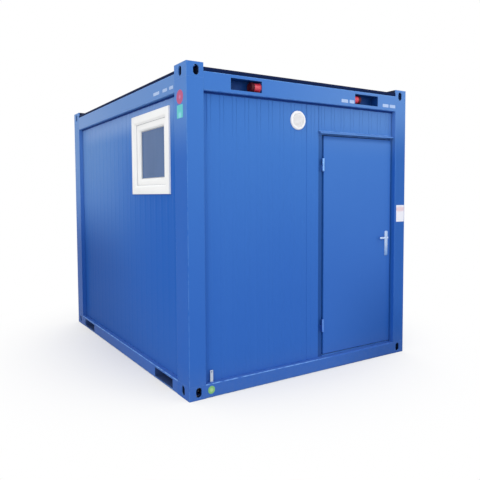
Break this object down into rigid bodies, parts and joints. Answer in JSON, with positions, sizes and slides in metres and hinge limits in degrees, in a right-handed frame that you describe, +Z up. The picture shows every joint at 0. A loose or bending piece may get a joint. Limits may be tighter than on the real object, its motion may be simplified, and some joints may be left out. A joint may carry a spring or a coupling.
{
  "type": "container cabin",
  "caption": "Steel framed container cabin with a ribbed blue skin, an outward opening door, a window, fork pockets and slotted corner blocks for lifting.",
  "frame": {"origin": "centre of the footprint on the ground", "axes": "+Z up, +X to the right seen from outside the door wall, +Y from the door wall to the back wall"},
  "size_m": [2.438, 2.991, 2.591],
  "materials": {
    "frame_blue": "glossy",
    "wall_blue": "glossy",
    "door_blue": "glossy",
    "galvanised": "satin",
    "deck_alloy": "satin",
    "black_seal": "matte",
    "lining_white": "matte",
    "lock_steel": "satin",
    "key_brass": "satin",
    "window_white": "glossy",
    "window_pane": "glossy",
    "socket_blue": "satin",
    "vent_white": "satin",
    "plug_red": "glossy"
  },
  "bodies": {
    "cabin": {"bottom_corner_blocks": "frame_blue", "bottom_block_end_plates": "frame_blue", "top_corner_blocks": "frame_blue", "top_block_end_plates": "frame_blue", "top_block_inner_plates": "frame_blue", "post_front_left": "frame_blue", "post_front_right": "frame_blue", "post_back_left": "frame_blue", "post_back_right": "frame_blue", "floor_beam_front": "frame_blue", "floor_beam_back": "frame_blue", "floor_beam_left": "frame_blue", "floor_beam_right": "frame_blue", "roof_beam_front": "frame_blue", "roof_beam_back": "frame_blue", "roof_beam_left": "frame_blue", "roof_beam_right": "frame_blue", "fork_tunnel_front": "frame_blue", "fork_tunnel_back": "frame_blue", "floor_cross_members": "galvanised", "floor_sheet": "galvanised", "floor_deck": "deck_alloy", "roof_seals": "black_seal", "roof_sheet": "galvanised", "ceiling_panel": "lining_white", "front_panel_left": "wall_blue", "front_panel_beside_door": "wall_blue", "front_panel_over_door": "wall_blue", "left_panel_window": "wall_blue", "left_panel_middle": "wall_blue", "left_panel_infill": "wall_blue", "right_panel_front": "wall_blue", "right_panel_middle": "wall_blue", "right_panel_infill": "wall_blue", "back_panel_left": "wall_blue", "back_panel_right": "wall_blue", "door_jamb_hinges": "door_blue", "door_jamb_lock": "door_blue", "door_head": "door_blue", "door_threshold": "door_blue", "rain_rail": "door_blue", "hinge_frame_halves": "galvanised", "window_frame": "window_white", "window_sash": "window_white", "window_glass": "window_pane", "vent_pipe": "galvanised", "vent_cover": "vent_white", "socket_boxes": "socket_blue", "power_plugs": "plug_red", "earth_lug": "galvanised"},
    "door": {"door_leaf": "door_blue", "hinge_leaf_halves": "galvanised", "lock_plates": "lock_steel", "key_cylinder": "key_brass"},
    "lever": {"door_lever": "lock_steel"}
  },
  "joints": [
    {"name": "door_swing", "type": "hinge", "parent": "cabin", "child": "door", "pos_m": [0.165, -1.4685, 1.12], "axis": [0, 0, -1], "range_deg": [0, 110]},
    {"name": "lever_turn", "type": "hinge", "parent": "door", "child": "lever", "pos_m": [0.998, -1.4355, 1.16], "axis": [0, -1, 0], "range_deg": [0, 40], "stiffness_Nm_per_rad": 1.5, "springref_deg": -20.05}
  ]
}
